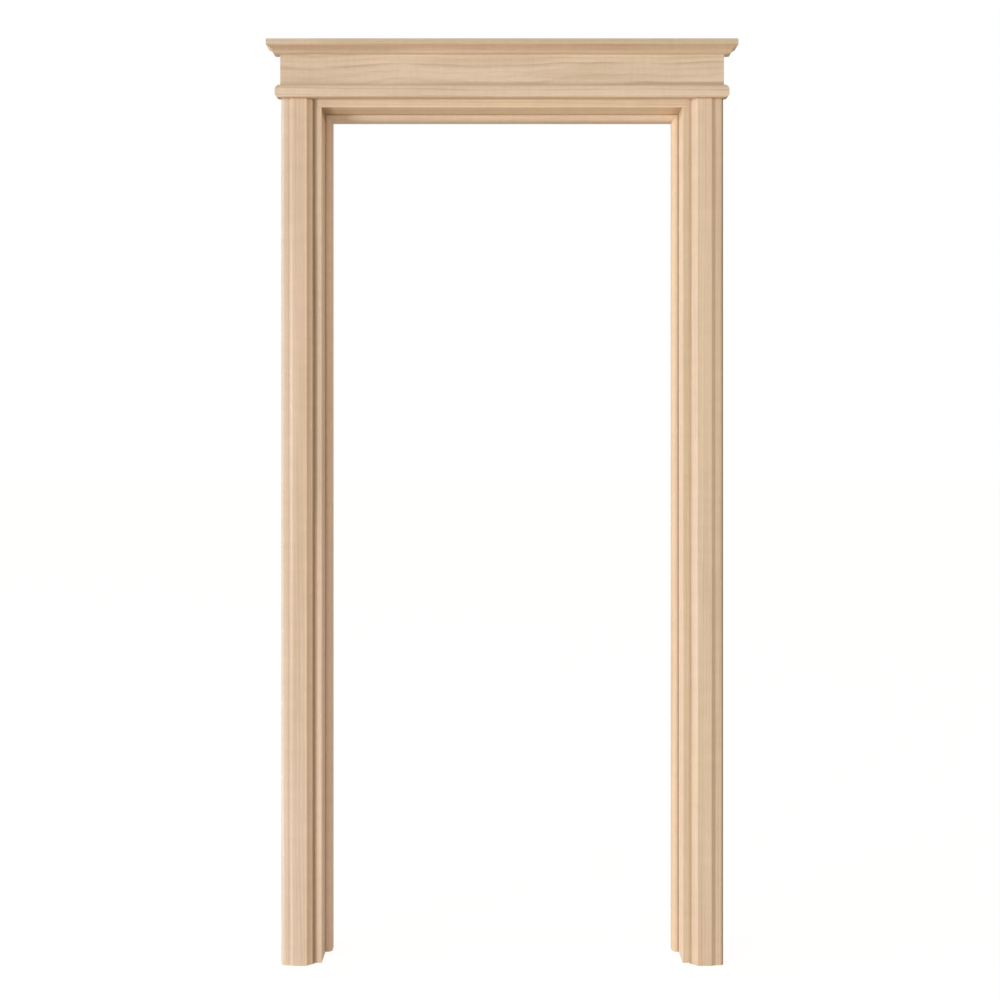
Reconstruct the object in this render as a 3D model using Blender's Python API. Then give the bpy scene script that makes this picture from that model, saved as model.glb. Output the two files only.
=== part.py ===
"""Cased door frame of pale hardwood, made for one standard single leaf.

Two side jambs and a head jamb carry planted stops. Moulded casings cover the wall joint on
both sides, and a crosshead of frieze board, crown and bead with mitred returns caps them.
Units are metres, +Z is up and the front faces -Y. The origin is at floor level, in the middle
of the frame's width and depth.
"""

import math

import bmesh
import bpy
from mathutils import Vector

# Door leaf that the frame is made for, and the play round it
LEAF_WIDTH = 0.864
LEAF_HEIGHT = 2.032
LEAF_THICK = 0.035
LEAF_SIDE_GAP = 0.003
LEAF_TOP_GAP = 0.003
LEAF_FLOOR_GAP = 0.028
LEAF_STOP_GAP = 0.002

# Gap left between pieces that touch on the real frame
FIT_GAP = 0.0003

# Jamb stock, used for the legs and the head
JAMB_DEPTH = 0.140
JAMB_THICK = 0.032
JAMB_HORN = 0.014
JAMB_ROUND = 0.0022
HEAD_HOUSING = 0.012
RELIEF_LAND = 0.024
RELIEF_WIDTH = 0.022
RELIEF_DEPTH = 0.002

# Stops, seated in a shallow groove in the jambs
STOP_WIDTH = 0.032
STOP_PROUD = 0.016
STOP_HOUSED = 0.003
STOP_ROOT_ROUND = 0.0032
STOP_FACE_HEIGHT = 0.0006

# Casing, across its face from the outer edge to the edge at the opening
CASING_BAND_WIDTH = 0.020
CASING_STEP_WIDTH = 0.0085
CASING_FLAT_WIDTH = 0.034
CASING_COVE_WIDTH = 0.0134
CASING_QUIRK_WIDTH = 0.003
CASING_LIP_WIDTH = 0.0006
CASING_SHOULDER_WIDTH = 0.007

# Casing, thickness at each of those places
CASING_THICK = 0.019
CASING_BAND_THICK = 0.015
CASING_SHOULDER_THICK = 0.0145
CASING_SIDE_THICK = 0.006
CASING_COVE_THICK = 0.0085
CASING_INNER_THICK = 0.006
CASING_QUIRK_DEPTH = 0.004
CASING_OUTER_LAND = 0.014
CASING_INNER_LAND = 0.024
CASING_RELIEF_DEPTH = 0.003

# Casing, degrees through which each curve of its face turns
CASING_SHOULDER_TURN = 76
CASING_BAND_TURN = 10
CASING_STEP_TURN = 34
CASING_COVE_TURN = 38

# Strips of the jambs' front edges left bare, beside the casings and under the frieze
CASING_REVEAL = 0.017
HEAD_REVEAL = 0.0178

# Frieze board
FRIEZE_HEIGHT = 0.1327
FRIEZE_THICK = 0.019

# Crown, from its lip at the top down to its small bead
CROWN_LIP_HEIGHT = 0.0142
CROWN_COVE_HEIGHT = 0.0098
CROWN_NECK_HEIGHT = 0.006
CROWN_LIP_PROUD = 0.0295
CROWN_NECK_PROUD = 0.016
CROWN_COVE_TURN = 24

# Bead along the crosshead's foot
BEAD_TOP_ROUND = 0.0155
BEAD_FACE_HEIGHT = 0.008
BEAD_FOOT_ROUND = 0.007
BEAD_PROUD = 0.0115
BEAD_SOLE = 0.0035

# Eased edges
ARRIS = 0.0012
FINE_ARRIS = 0.0008

# Screws through the legs into the head jamb's ends, and through the frieze into its mouldings
SCREW_RADIUS = 0.0021
SCREW_HEAD_RADIUS = 0.0042
SCREW_HEAD_HEIGHT = 0.0028
SCREW_TIP = 0.006
SCREW_SINK = 0.0006
HEAD_SCREW_COUNT = 3
HEAD_SCREW_EDGE = 0.018
HEAD_SCREW_BITE = 0.040
MOULDING_SCREW_BITE = 0.007
MOULDING_SCREW_COUNT = 5
MOULDING_SCREW_END = 0.072

# Nails through the casings and the frieze into the jambs' front edges
NAIL_RADIUS = 0.0009
NAIL_HEAD_RADIUS = 0.0014
NAIL_HEAD_HEIGHT = 0.0012
NAIL_TIP = 0.0025
NAIL_COVER = 0.0025
NAIL_BITE = 0.032
CASING_NAIL_COUNT = 5
CASING_NAIL_END = 0.120
FRIEZE_NAIL_COUNT = 4
FRIEZE_NAIL_END = 0.090

# Brads through the stops into the jambs
BRAD_RADIUS = 0.0006
BRAD_HEAD_RADIUS = 0.0009
BRAD_BITE = 0.012
SIDE_BRAD_COUNT = 4
HEAD_BRAD_COUNT = 3
BRAD_END = 0.110

# Dowels between the casings' tops and the crosshead
DOWEL_RADIUS = 0.003
DOWEL_LENGTH = 0.030
DOWEL_CHAMFER = 0.001
DOWEL_SPACING = 0.018
DOWEL_COVER = 0.0015

# Smoothness of round forms, with the angles in degrees above which an edge stays sharp
CURVE_STEPS = 7
EDGE_STEPS = 3
PIN_SIDES = 10
RUN_SHARP_ANGLE = 28
PIN_SHARP_ANGLE = 40
MERGE_DISTANCE = 0.000001

# Length by which a hole's cutter stands out of the face that it enters
CUTTER_MARGIN = 0.004

# Places worked out from the sizes above
HALF_CLEAR = LEAF_WIDTH / 2 + LEAF_SIDE_GAP
CLEAR_HEIGHT = LEAF_FLOOR_GAP + LEAF_HEIGHT + LEAF_TOP_GAP
CASING_INNER_EDGE = CASING_COVE_WIDTH + CASING_QUIRK_WIDTH + CASING_LIP_WIDTH
CASING_WIDTH = CASING_BAND_WIDTH + CASING_STEP_WIDTH + CASING_FLAT_WIDTH + CASING_INNER_EDGE
CASING_OUTER_X = HALF_CLEAR + CASING_REVEAL + CASING_WIDTH
CROSSHEAD_Z = CLEAR_HEIGHT + HEAD_REVEAL
CROSSHEAD_TOP = CROSSHEAD_Z + FRIEZE_HEIGHT
CROWN_HEIGHT = CROWN_LIP_HEIGHT + CROWN_COVE_HEIGHT + CROWN_NECK_HEIGHT
CROWN_Z = CROSSHEAD_TOP - CROWN_HEIGHT
WALL_Y = (FRIEZE_THICK + CROWN_LIP_PROUD - FIT_GAP - JAMB_DEPTH) / 2
FRIEZE_FACE_Y = WALL_Y - FRIEZE_THICK
JAMB_FRONT_Y = WALL_Y + FIT_GAP
STOP_FRONT = JAMB_DEPTH - LEAF_THICK - LEAF_STOP_GAP - STOP_WIDTH
STOP_TONGUE_FRONT = STOP_FRONT + STOP_ROOT_ROUND
STOP_NOSE_ROUND = STOP_PROUD - STOP_ROOT_ROUND - STOP_FACE_HEIGHT
CASING_NAIL_INSET = (CASING_REVEAL + JAMB_THICK) / 2
FRIEZE_NAIL_RISE = (HEAD_REVEAL + JAMB_THICK) / 2
BEAD_SCREW_RISE = DOWEL_LENGTH / 2 + DOWEL_COVER + SCREW_HEAD_RADIUS + 2 * FIT_GAP
MITRE_SETBACK = FIT_GAP / math.sqrt(2)

# Colours, linear, with roughness and metalness
MAPLE = (0.69, 0.51, 0.35)
PINK_MAPLE = (0.71, 0.50, 0.36)
YELLOW_MAPLE = (0.68, 0.52, 0.33)
BEECH = (0.62, 0.42, 0.26)
WOOD_ROUGHNESS = 0.55
STEEL = (0.56, 0.55, 0.53)
STEEL_ROUGHNESS = 0.35


def clear_scene():
    for thing in list(bpy.data.objects):
        bpy.data.objects.remove(thing)


def material(name, colour, roughness, metallic):
    made = bpy.data.materials.new(name)
    made.use_nodes = True
    shader = made.node_tree.nodes["Principled BSDF"]
    shader.inputs["Base Color"].default_value = (*colour, 1.0)
    shader.inputs["Roughness"].default_value = roughness
    shader.inputs["Metallic"].default_value = metallic
    made.diffuse_color = (*colour, 1.0)
    return made


def wood(name, colour=MAPLE):
    return material(name + "_wood", colour, WOOD_ROUGHNESS, 0.0)


def steel(name):
    return material(name + "_steel", STEEL, STEEL_ROUGHNESS, 1.0)


def add_object(name, mesh, finish):
    thing = bpy.data.objects.new(name, mesh)
    bpy.context.scene.collection.objects.link(thing)
    if finish:
        mesh.materials.append(finish)
    return thing


# Outlines: lists of (x, y), drawn with corners, fillets and arcs


def arc(start, end, turn):
    """Points after start up to end, on the circle that turns by this many degrees between them."""
    first = complex(*start)
    last = complex(*end)
    angle = math.radians(turn)
    centre = (first + last) / 2 + 1j * (last - first) / (2 * math.tan(angle / 2))
    points = []
    for step in range(1, CURVE_STEPS + 1):
        part_turn = angle * step / CURVE_STEPS
        point = centre + (first - centre) * complex(math.cos(part_turn), math.sin(part_turn))
        points.append((point.real, point.imag))
    return points


def ellipse_quarter(centre, start, end):
    """Points after start up to end on the quarter ellipse with this centre."""
    middle = Vector(centre)
    first = Vector(start) - middle
    last = Vector(end) - middle
    points = []
    for step in range(1, CURVE_STEPS + 1):
        angle = math.pi / 2 * step / CURVE_STEPS
        points.append(tuple(middle + first * math.cos(angle) + last * math.sin(angle)))
    return points


def rounded(corners):
    """Outline through corners given as (x, y) or (x, y, fillet radius)."""
    outline = []
    for index, corner in enumerate(corners):
        here = Vector(corner[:2])
        if len(corner) == 2:
            outline.append(tuple(here))
            continue
        before = Vector(corners[index - 1][:2]) - here
        after = Vector(corners[(index + 1) % len(corners)][:2]) - here
        half_angle = before.angle(after) / 2
        reach = corner[2] / math.tan(half_angle)
        reach = min(reach, before.length / 2, after.length / 2)
        start = here + before.normalized() * reach
        end = here + after.normalized() * reach
        inward = (before.normalized() + after.normalized()).normalized()
        centre = here + inward * reach / math.cos(half_angle)
        sweep = math.pi - 2 * half_angle
        for step in range(EDGE_STEPS + 1):
            weight = step / EDGE_STEPS
            from_start = math.sin(sweep * (1 - weight)) / math.sin(sweep)
            from_end = math.sin(sweep * weight) / math.sin(sweep)
            outline.append(tuple(centre + (start - centre) * from_start + (end - centre) * from_end))
    return outline


def run(name, first_end, last_end, finish):
    """Length of moulding or board between two end outlines, each a list of points in space."""
    shape = bmesh.new()
    first = [shape.verts.new(point) for point in first_end]
    last = [shape.verts.new(point) for point in last_end]
    shape.faces.new(first)
    shape.faces.new(last)
    for index in range(len(first)):
        after = (index + 1) % len(first)
        shape.faces.new((first[index], first[after], last[after], last[index]))
    bmesh.ops.recalc_face_normals(shape, faces=shape.faces)
    mesh = bpy.data.meshes.new(name)
    shape.to_mesh(mesh)
    shape.free()
    mesh.shade_smooth()
    mesh.set_sharp_from_angle(angle=math.radians(RUN_SHARP_ANGLE))
    return add_object(name, mesh, finish)


# Holes and housings: each board has one collection of cutters and one Boolean that uses it


def cut(board, cutter):
    holes_name = board.name + "_cuts"
    holes = bpy.data.collections.get(holes_name)
    if not holes:
        holes = bpy.data.collections.new(holes_name)
        boolean = board.modifiers.new("cuts", "BOOLEAN")
        boolean.operation = "DIFFERENCE"
        boolean.solver = "EXACT"
        boolean.operand_type = "COLLECTION"
        boolean.collection = holes
    holes.objects.link(cutter)


def as_cutter(thing):
    thing.hide_render = True
    thing.display_type = "WIRE"
    return thing


def block(name, low, high):
    """Box between two corners."""
    corners = [(low[1], low[2]), (high[1], low[2]), (high[1], high[2]), (low[1], high[2])]
    low_end = [(low[0], y, z) for y, z in corners]
    high_end = [(high[0], y, z) for y, z in corners]
    return run(name, low_end, high_end, None)


# Jambs


def jamb_outline():
    """Jamb section: thickness away from the opening, then depth from the front edge."""
    groove_depth = STOP_HOUSED + FIT_GAP
    groove_front = STOP_TONGUE_FRONT - FIT_GAP
    groove_back = STOP_FRONT + STOP_WIDTH + FIT_GAP
    back_far = JAMB_DEPTH - RELIEF_LAND
    corners = [
        (0, 0, JAMB_ROUND),
        (0, groove_front),
        (groove_depth, groove_front),
        (groove_depth, groove_back),
        (0, groove_back),
        (0, JAMB_DEPTH, ARRIS),
        (JAMB_THICK, JAMB_DEPTH, ARRIS),
        (JAMB_THICK, back_far),
        (JAMB_THICK - RELIEF_DEPTH, back_far - RELIEF_DEPTH),
        (JAMB_THICK - RELIEF_DEPTH, back_far - RELIEF_WIDTH + RELIEF_DEPTH),
        (JAMB_THICK, back_far - RELIEF_WIDTH),
        (JAMB_THICK, RELIEF_LAND + RELIEF_WIDTH),
        (JAMB_THICK - RELIEF_DEPTH, RELIEF_LAND + RELIEF_WIDTH - RELIEF_DEPTH),
        (JAMB_THICK - RELIEF_DEPTH, RELIEF_LAND + RELIEF_DEPTH),
        (JAMB_THICK, RELIEF_LAND),
        (JAMB_THICK, 0, ARRIS),
    ]
    return rounded(corners)


def side_jamb(name, side, colour):
    top = CLEAR_HEIGHT + JAMB_THICK + JAMB_HORN
    foot = [(side * (HALF_CLEAR + t), JAMB_FRONT_Y + d, 0) for t, d in jamb_outline()]
    head = [(x, y, top) for x, y, _ in foot]
    leg = run(name, foot, head, wood(name, colour))
    reach = HALF_CLEAR + HEAD_HOUSING
    near = HALF_CLEAR - CUTTER_MARGIN
    low = (min(side * near, side * reach), JAMB_FRONT_Y - CUTTER_MARGIN, CLEAR_HEIGHT - FIT_GAP)
    high = (
        max(side * near, side * reach),
        JAMB_FRONT_Y + JAMB_DEPTH + CUTTER_MARGIN,
        CLEAR_HEIGHT + JAMB_THICK + FIT_GAP,
    )
    cut(leg, as_cutter(block(name + "_housing", low, high)))
    return leg


def head_jamb():
    half = HALF_CLEAR + HEAD_HOUSING - FIT_GAP
    left = [(-half, JAMB_FRONT_Y + d, CLEAR_HEIGHT + t) for t, d in jamb_outline()]
    right = [(half, y, z) for _, y, z in left]
    return run("jamb_head", left, right, wood("jamb_head", PINK_MAPLE))


# Stops


def stop_outline():
    """Stop section: height off the jamb's face, then depth from the jamb's front edge."""
    nose_start = (STOP_PROUD, STOP_FRONT + STOP_NOSE_ROUND)
    nose_end = (STOP_PROUD - STOP_NOSE_ROUND, STOP_FRONT)
    nose_centre = (nose_end[0], nose_start[1])
    root_start = (STOP_ROOT_ROUND, STOP_FRONT)
    root_end = (0, STOP_TONGUE_FRONT)
    root_centre = (STOP_ROOT_ROUND, STOP_TONGUE_FRONT)
    corners = [
        (-STOP_HOUSED, STOP_TONGUE_FRONT),
        (-STOP_HOUSED, STOP_FRONT + STOP_WIDTH),
        (STOP_PROUD, STOP_FRONT + STOP_WIDTH, ARRIS),
        nose_start,
        *ellipse_quarter(nose_centre, nose_start, nose_end),
        root_start,
        *ellipse_quarter(root_centre, root_start, root_end),
    ]
    return rounded(corners)


def side_stop(name, side):
    outline = stop_outline()
    top = CLEAR_HEIGHT - MITRE_SETBACK
    foot = [(side * (HALF_CLEAR - t), JAMB_FRONT_Y + d, 0) for t, d in outline]
    mitre = [(side * (HALF_CLEAR - t), JAMB_FRONT_Y + d, top - t) for t, d in outline]
    return run(name, foot, mitre, wood(name))


def head_stop():
    half = HALF_CLEAR - MITRE_SETBACK
    right = [(half - t, JAMB_FRONT_Y + d, CLEAR_HEIGHT - t) for t, d in stop_outline()]
    left = [(-x, y, z) for x, y, z in right]
    return run("stop_head", left, right, wood("stop_head", PINK_MAPLE))


# Casings


def casing_outline():
    """Casing section: distance in from the outer edge, then thickness off the wall."""
    shoulder = (CASING_SHOULDER_WIDTH, CASING_SHOULDER_THICK)
    band_end = (CASING_BAND_WIDTH, CASING_BAND_THICK)
    flat_start = (CASING_BAND_WIDTH + CASING_STEP_WIDTH, CASING_THICK)
    flat_end = (flat_start[0] + CASING_FLAT_WIDTH, CASING_THICK)
    cove_end = (flat_end[0] + CASING_COVE_WIDTH, CASING_COVE_THICK)
    quirk_foot = (cove_end[0], CASING_COVE_THICK - CASING_QUIRK_DEPTH)
    lip = (CASING_WIDTH - CASING_LIP_WIDTH, CASING_INNER_THICK)
    side = (0, CASING_SIDE_THICK)
    relief_start = CASING_OUTER_LAND
    relief_end = CASING_WIDTH - CASING_INNER_LAND
    corners = [
        (0, 0),
        side,
        *arc(side, shoulder, -CASING_SHOULDER_TURN),
        *arc(shoulder, band_end, -CASING_BAND_TURN),
        *arc(band_end, flat_start, CASING_STEP_TURN)[:-1],
        (*flat_start, FINE_ARRIS),
        (*flat_end, FINE_ARRIS),
        *arc(flat_end, cove_end, CASING_COVE_TURN)[:-1],
        (*cove_end, FINE_ARRIS),
        quirk_foot,
        lip,
        (CASING_WIDTH, CASING_INNER_THICK, FINE_ARRIS),
        (CASING_WIDTH, 0),
        (relief_end, 0),
        (relief_end - CASING_RELIEF_DEPTH, CASING_RELIEF_DEPTH),
        (relief_start + CASING_RELIEF_DEPTH, CASING_RELIEF_DEPTH),
        (relief_start, 0),
    ]
    return rounded(corners)


def casing(name, side, colour):
    foot = [(side * (CASING_OUTER_X - u), WALL_Y - p, 0) for u, p in casing_outline()]
    top = [(x, y, CROSSHEAD_Z - FIT_GAP) for x, y, _ in foot]
    return run(name, foot, top, wood(name, colour))


# Crosshead


def frieze_board():
    corners = [
        (0, 0),
        (FRIEZE_THICK, 0, FINE_ARRIS),
        (FRIEZE_THICK, FRIEZE_HEIGHT, FINE_ARRIS),
        (0, FRIEZE_HEIGHT),
    ]
    left = [(-CASING_OUTER_X, WALL_Y - p, CROSSHEAD_Z + h) for p, h in rounded(corners)]
    right = [(-x, y, z) for x, y, z in left]
    return run("frieze_board", left, right, wood("frieze_board", MAPLE))


def crown_outline():
    """Crown section: distance off the board, then height from the crown's foot."""
    neck_top = (CROWN_NECK_PROUD, CROWN_NECK_HEIGHT)
    lip_foot = (CROWN_LIP_PROUD, CROWN_NECK_HEIGHT + CROWN_COVE_HEIGHT)
    corners = [
        (FIT_GAP, 0),
        (CROWN_NECK_PROUD, 0, CROWN_NECK_HEIGHT / 2),
        (*neck_top, FINE_ARRIS),
        *arc(neck_top, lip_foot, -CROWN_COVE_TURN)[:-1],
        (*lip_foot, FINE_ARRIS),
        (CROWN_LIP_PROUD, CROWN_HEIGHT, ARRIS),
        (FIT_GAP, CROWN_HEIGHT),
    ]
    return rounded(corners)


def bead_outline():
    """Bead section: distance off the board, then height from the crosshead's foot."""
    face_top = BEAD_FOOT_ROUND + BEAD_FACE_HEIGHT
    height = face_top + BEAD_TOP_ROUND
    sole_end = (BEAD_SOLE, 0)
    foot_end = (BEAD_PROUD, BEAD_FOOT_ROUND)
    crest = (BEAD_PROUD, face_top)
    corners = [
        (FIT_GAP, 0),
        sole_end,
        *ellipse_quarter((BEAD_SOLE, BEAD_FOOT_ROUND), sole_end, foot_end),
        crest,
        *ellipse_quarter((FIT_GAP, face_top), crest, (FIT_GAP, height)),
    ]
    return rounded(corners)


def moulding_front(name, outline, base, finish):
    right = [(CASING_OUTER_X + a - MITRE_SETBACK, FRIEZE_FACE_Y - a, base + h) for a, h in outline]
    left = [(-x, y, z) for x, y, z in right]
    return run(name, left, right, finish)


def moulding_return(name, side, outline, base, finish):
    mitre_y = FRIEZE_FACE_Y + MITRE_SETBACK
    front = [(side * (CASING_OUTER_X + a), mitre_y - a, base + h) for a, h in outline]
    back = [(x, WALL_Y, z) for x, _, z in front]
    return run(name, front, back, finish)


def moulding(name, outline, base, colour):
    front = moulding_front(name + "_front", outline, base, wood(name + "_front", colour))
    for side, word in ((-1, "left"), (1, "right")):
        part_name = name + "_return_" + word
        moulding_return(part_name, side, outline, base, wood(part_name, colour))
    return front


# Fasteners: a turned outline, its object and the hole that it needs in each board


def turned(name, profile, finish):
    """Solid of revolution about Z through a profile of (radius, height)."""
    shape = bmesh.new()
    points = [shape.verts.new((radius, 0, height)) for radius, height in profile]
    edges = [shape.edges.new(pair) for pair in zip(points, points[1:])]
    bmesh.ops.spin(
        shape, geom=points + edges, axis=(0, 0, 1), cent=(0, 0, 0), angle=math.tau, steps=PIN_SIDES
    )
    bmesh.ops.remove_doubles(shape, verts=shape.verts, dist=MERGE_DISTANCE)
    bmesh.ops.recalc_face_normals(shape, faces=shape.faces)
    mesh = bpy.data.meshes.new(name)
    shape.to_mesh(mesh)
    shape.free()
    mesh.shade_smooth()
    mesh.set_sharp_from_angle(angle=math.radians(PIN_SHARP_ANGLE))
    return add_object(name, mesh, finish)


def screw_profile(length, grow=0.0, mouth=0.0):
    return [
        (0, mouth),
        (SCREW_HEAD_RADIUS + grow, mouth),
        (SCREW_HEAD_RADIUS + grow, -grow),
        (SCREW_RADIUS + grow, -SCREW_HEAD_HEIGHT - grow),
        (SCREW_RADIUS + grow, -length + SCREW_TIP),
        (0, -length - 2 * grow),
    ]


def nail_profile(length, radius, head_radius, grow=0.0, mouth=0.0):
    return [
        (0, grow + mouth),
        (head_radius + grow, grow + mouth),
        (head_radius + grow, -NAIL_HEAD_HEIGHT - grow),
        (radius + grow, -NAIL_HEAD_HEIGHT - head_radius - grow),
        (radius + grow, -length + NAIL_TIP),
        (0, -length - 2 * grow),
    ]


def dowel_profile(grow=0.0):
    half = DOWEL_LENGTH / 2 + grow
    radius = DOWEL_RADIUS + grow
    return [
        (0, half),
        (radius - DOWEL_CHAMFER, half),
        (radius, half - DOWEL_CHAMFER),
        (radius, DOWEL_CHAMFER - half),
        (radius - DOWEL_CHAMFER, -half),
        (0, -half),
    ]


def place(thing, seat, direction):
    thing.location = seat
    thing.rotation_mode = "QUATERNION"
    thing.rotation_quaternion = Vector((0, 0, -1)).rotation_difference(Vector(direction))
    return thing


def drive(name, profile, hole_profile, finish, seat, direction, boards):
    """Fastener whose head is at the seat, pointing along the direction through the boards."""
    place(turned(name, profile, finish), seat, direction)
    cutter = place(as_cutter(turned(name + "_hole", hole_profile, None)), seat, direction)
    for board in boards:
        cut(board, cutter)


def drive_screw(name, length, seat, direction, boards):
    profile = screw_profile(length)
    hole = screw_profile(length, FIT_GAP, CUTTER_MARGIN)
    drive(name, profile, hole, steel(name), seat, direction, boards)


def drive_nail(name, length, seat, direction, boards, mouth=0.0):
    profile = nail_profile(length, NAIL_RADIUS, NAIL_HEAD_RADIUS)
    hole = nail_profile(length, NAIL_RADIUS, NAIL_HEAD_RADIUS, FIT_GAP, mouth)
    drive(name, profile, hole, steel(name), seat, direction, boards)


def drive_brad(name, seat, direction, boards):
    length = STOP_PROUD - NAIL_COVER + STOP_HOUSED + BRAD_BITE
    profile = nail_profile(length, BRAD_RADIUS, BRAD_HEAD_RADIUS)
    hole = nail_profile(length, BRAD_RADIUS, BRAD_HEAD_RADIUS, FIT_GAP)
    drive(name, profile, hole, steel(name), seat, direction, boards)


def spread(first, last, count):
    """Evenly spaced places, the ends included."""
    return [first + (last - first) * index / (count - 1) for index in range(count)]


def head_joint_screws(side, word, leg, head):
    """Screws through the leg's back into the end grain of the head jamb."""
    length = JAMB_THICK - HEAD_HOUSING - SCREW_SINK + HEAD_SCREW_BITE
    x = side * (HALF_CLEAR + JAMB_THICK - SCREW_SINK)
    z = CLEAR_HEIGHT + JAMB_THICK / 2
    depths = spread(HEAD_SCREW_EDGE, JAMB_DEPTH - HEAD_SCREW_EDGE, HEAD_SCREW_COUNT)
    for number, depth in enumerate(depths, 1):
        name = f"head_screw_{word}_{number}"
        drive_screw(name, length, (x, JAMB_FRONT_Y + depth, z), (-side, 0, 0), (leg, head))


def casing_nails(side, word, board, leg):
    """Nails from inside the casing's cove into the jamb's front edge, set and filled over."""
    length = CASING_INNER_THICK - NAIL_COVER + NAIL_BITE
    x = side * (HALF_CLEAR + CASING_NAIL_INSET)
    y = WALL_Y - CASING_INNER_THICK + NAIL_COVER
    heights = spread(CASING_NAIL_END, CROSSHEAD_Z - CASING_NAIL_END, CASING_NAIL_COUNT)
    for number, z in enumerate(heights, 1):
        drive_nail(f"casing_nail_{word}_{number}", length, (x, y, z), (0, 1, 0), (board, leg))


def stop_brads(side, word, stop, leg):
    x = side * (HALF_CLEAR - STOP_PROUD + NAIL_COVER)
    y = JAMB_FRONT_Y + STOP_FRONT + STOP_WIDTH / 2
    heights = spread(BRAD_END, CLEAR_HEIGHT - BRAD_END, SIDE_BRAD_COUNT)
    for number, z in enumerate(heights, 1):
        drive_brad(f"stop_brad_{word}_{number}", (x, y, z), (side, 0, 0), (stop, leg))


def head_stop_brads(stop, head):
    y = JAMB_FRONT_Y + STOP_FRONT + STOP_WIDTH / 2
    z = CLEAR_HEIGHT - STOP_PROUD + NAIL_COVER
    places = spread(BRAD_END - HALF_CLEAR, HALF_CLEAR - BRAD_END, HEAD_BRAD_COUNT)
    for number, x in enumerate(places, 1):
        drive_brad(f"stop_brad_head_{number}", (x, y, z), (0, 0, 1), (stop, head))


def frieze_nails(frieze, head):
    """Nails through the frieze's foot into the head jamb's edge, under the bead."""
    length = FRIEZE_THICK - SCREW_SINK + NAIL_BITE
    y = FRIEZE_FACE_Y + SCREW_SINK
    z = CLEAR_HEIGHT + FRIEZE_NAIL_RISE
    boards = (frieze, head)
    places = spread(FRIEZE_NAIL_END - HALF_CLEAR, HALF_CLEAR - FRIEZE_NAIL_END, FRIEZE_NAIL_COUNT)
    for number, x in enumerate(places, 1):
        drive_nail(f"frieze_nail_{number}", length, (x, y, z), (0, 1, 0), boards, CUTTER_MARGIN)


def moulding_screws(word, z, frieze, front):
    """Screws from the frieze's back into a moulding's front length."""
    length = FRIEZE_THICK - SCREW_SINK + MOULDING_SCREW_BITE
    y = WALL_Y - SCREW_SINK
    reach = CASING_OUTER_X - MOULDING_SCREW_END
    for number, x in enumerate(spread(-reach, reach, MOULDING_SCREW_COUNT), 1):
        drive_screw(f"{word}_screw_{number}", length, (x, y, z), (0, -1, 0), (frieze, front))


def crosshead_dowels(side, word, board, frieze):
    """Dowels upright in the middle of the board's flat, half in the casing and half in the frieze."""
    flat_middle = CASING_BAND_WIDTH + CASING_STEP_WIDTH + CASING_FLAT_WIDTH / 2
    y = WALL_Y - FRIEZE_THICK / 2
    for number, offset in enumerate((-DOWEL_SPACING / 2, DOWEL_SPACING / 2), 1):
        name = f"crosshead_dowel_{word}_{number}"
        x = side * (CASING_OUTER_X - flat_middle - offset)
        seat = (x, y, CROSSHEAD_Z)
        finish = wood(name, BEECH)
        drive(name, dowel_profile(), dowel_profile(FIT_GAP), finish, seat, (0, 0, -1), (board, frieze))


def build_frame():
    clear_scene()
    head = head_jamb()
    frieze = frieze_board()
    crown = moulding("crown", crown_outline(), CROWN_Z, YELLOW_MAPLE)
    bead = moulding("bead", bead_outline(), CROSSHEAD_Z, MAPLE)
    for side, word, colour in ((-1, "left", PINK_MAPLE), (1, "right", YELLOW_MAPLE)):
        leg = side_jamb("jamb_" + word, side, colour)
        stop = side_stop("stop_" + word, side)
        board = casing("casing_" + word, side, colour)
        head_joint_screws(side, word, leg, head)
        casing_nails(side, word, board, leg)
        stop_brads(side, word, stop, leg)
        crosshead_dowels(side, word, board, frieze)
    head_stop_brads(head_stop(), head)
    frieze_nails(frieze, head)
    moulding_screws("crown", CROSSHEAD_TOP - CROWN_LIP_HEIGHT / 2, frieze, crown)
    moulding_screws("bead", CROSSHEAD_Z + BEAD_SCREW_RISE, frieze, bead)


build_frame()
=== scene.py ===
"""Studio picture of a cased door frame in pale, unfinished hardwood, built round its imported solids."""

import math

import bmesh
import bpy
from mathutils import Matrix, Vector


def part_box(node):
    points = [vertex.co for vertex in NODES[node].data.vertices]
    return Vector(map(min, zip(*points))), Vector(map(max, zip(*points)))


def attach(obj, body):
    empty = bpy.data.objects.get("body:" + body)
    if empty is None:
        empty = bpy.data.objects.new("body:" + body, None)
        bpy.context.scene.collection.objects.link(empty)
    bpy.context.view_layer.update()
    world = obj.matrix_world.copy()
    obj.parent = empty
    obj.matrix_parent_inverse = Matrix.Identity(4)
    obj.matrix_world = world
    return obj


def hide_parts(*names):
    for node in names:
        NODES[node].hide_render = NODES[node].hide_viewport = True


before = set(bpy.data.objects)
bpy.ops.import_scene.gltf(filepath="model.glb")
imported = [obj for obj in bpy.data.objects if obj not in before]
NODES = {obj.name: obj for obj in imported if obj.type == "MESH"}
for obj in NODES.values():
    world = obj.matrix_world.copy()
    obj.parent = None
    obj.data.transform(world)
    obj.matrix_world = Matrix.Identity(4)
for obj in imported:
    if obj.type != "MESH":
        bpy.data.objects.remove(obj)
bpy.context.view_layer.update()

# Camera, level and straight in front of the plane in which the casings lie
IMAGE_SIDE = 1000
WALL_Y = -0.0459
CAMERA_DISTANCE = 3.2
CAMERA_HEIGHT = 1.2242
METRES_PER_PIXEL = 0.00241
CAMERA_SHIFT_X = -0.0021
CAMERA_SHIFT_Y = -0.045
SENSOR_MM = 36.0

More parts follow.
